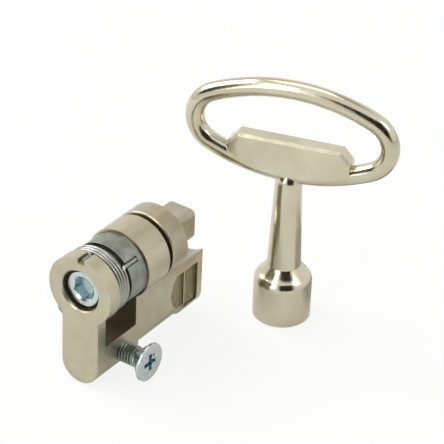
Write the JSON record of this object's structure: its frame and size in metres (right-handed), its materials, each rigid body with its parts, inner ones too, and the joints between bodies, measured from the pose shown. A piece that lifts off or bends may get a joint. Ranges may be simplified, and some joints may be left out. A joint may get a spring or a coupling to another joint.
{
  "type": "cabinet lock",
  "caption": "Euro-profile half cylinder with a square stud, sprung cam and fixing screw, and the ring-handled socket key that turns it.",
  "frame": {"origin": "on the cam's turning axis, in the cam-side end face of the half cylinder", "axes": "+Y along the turning axis towards the key side, +Z towards the profile's round head, +X towards the fixing screw's head"},
  "size_m": [0.0531, 0.0602, 0.062],
  "materials": {
    "satin_nickel": "satin",
    "polished_nickel": "polished",
    "zinc_casting": "satin",
    "spring_steel": "satin",
    "blue_zinc": "gloss"
  },
  "bodies": {
    "lock_body": {"cylinder_body": "satin_nickel", "return_spring": "spring_steel"},
    "plug": {"drive_insert": "satin_nickel", "cam": "zinc_casting", "cap_screw": "blue_zinc", "lock_washer": "spring_steel"},
    "fixing_screw": {"fixing_screw": "blue_zinc"},
    "key": {"key": "polished_nickel"}
  },
  "joints": [
    {"name": "cam_turn", "type": "hinge", "parent": "lock_body", "child": "plug", "pos_m": [0, 0, 0], "axis": [0, -1, 0], "range_deg": [0, 90], "stiffness_Nm_per_rad": 0.029, "springref_deg": -45.84, "deforming": ["return_spring"]},
    {"name": "fixing_screw_draw", "type": "slide", "parent": "lock_body", "child": "fixing_screw", "axis": [1, 0, 0], "range_m": [-0.0042, 0.012]},
    {"name": "key_lift", "type": "slide", "parent": "lock_body", "child": "key", "axis": [0, 0, 1], "range_m": [0, 0.1]}
  ]
}
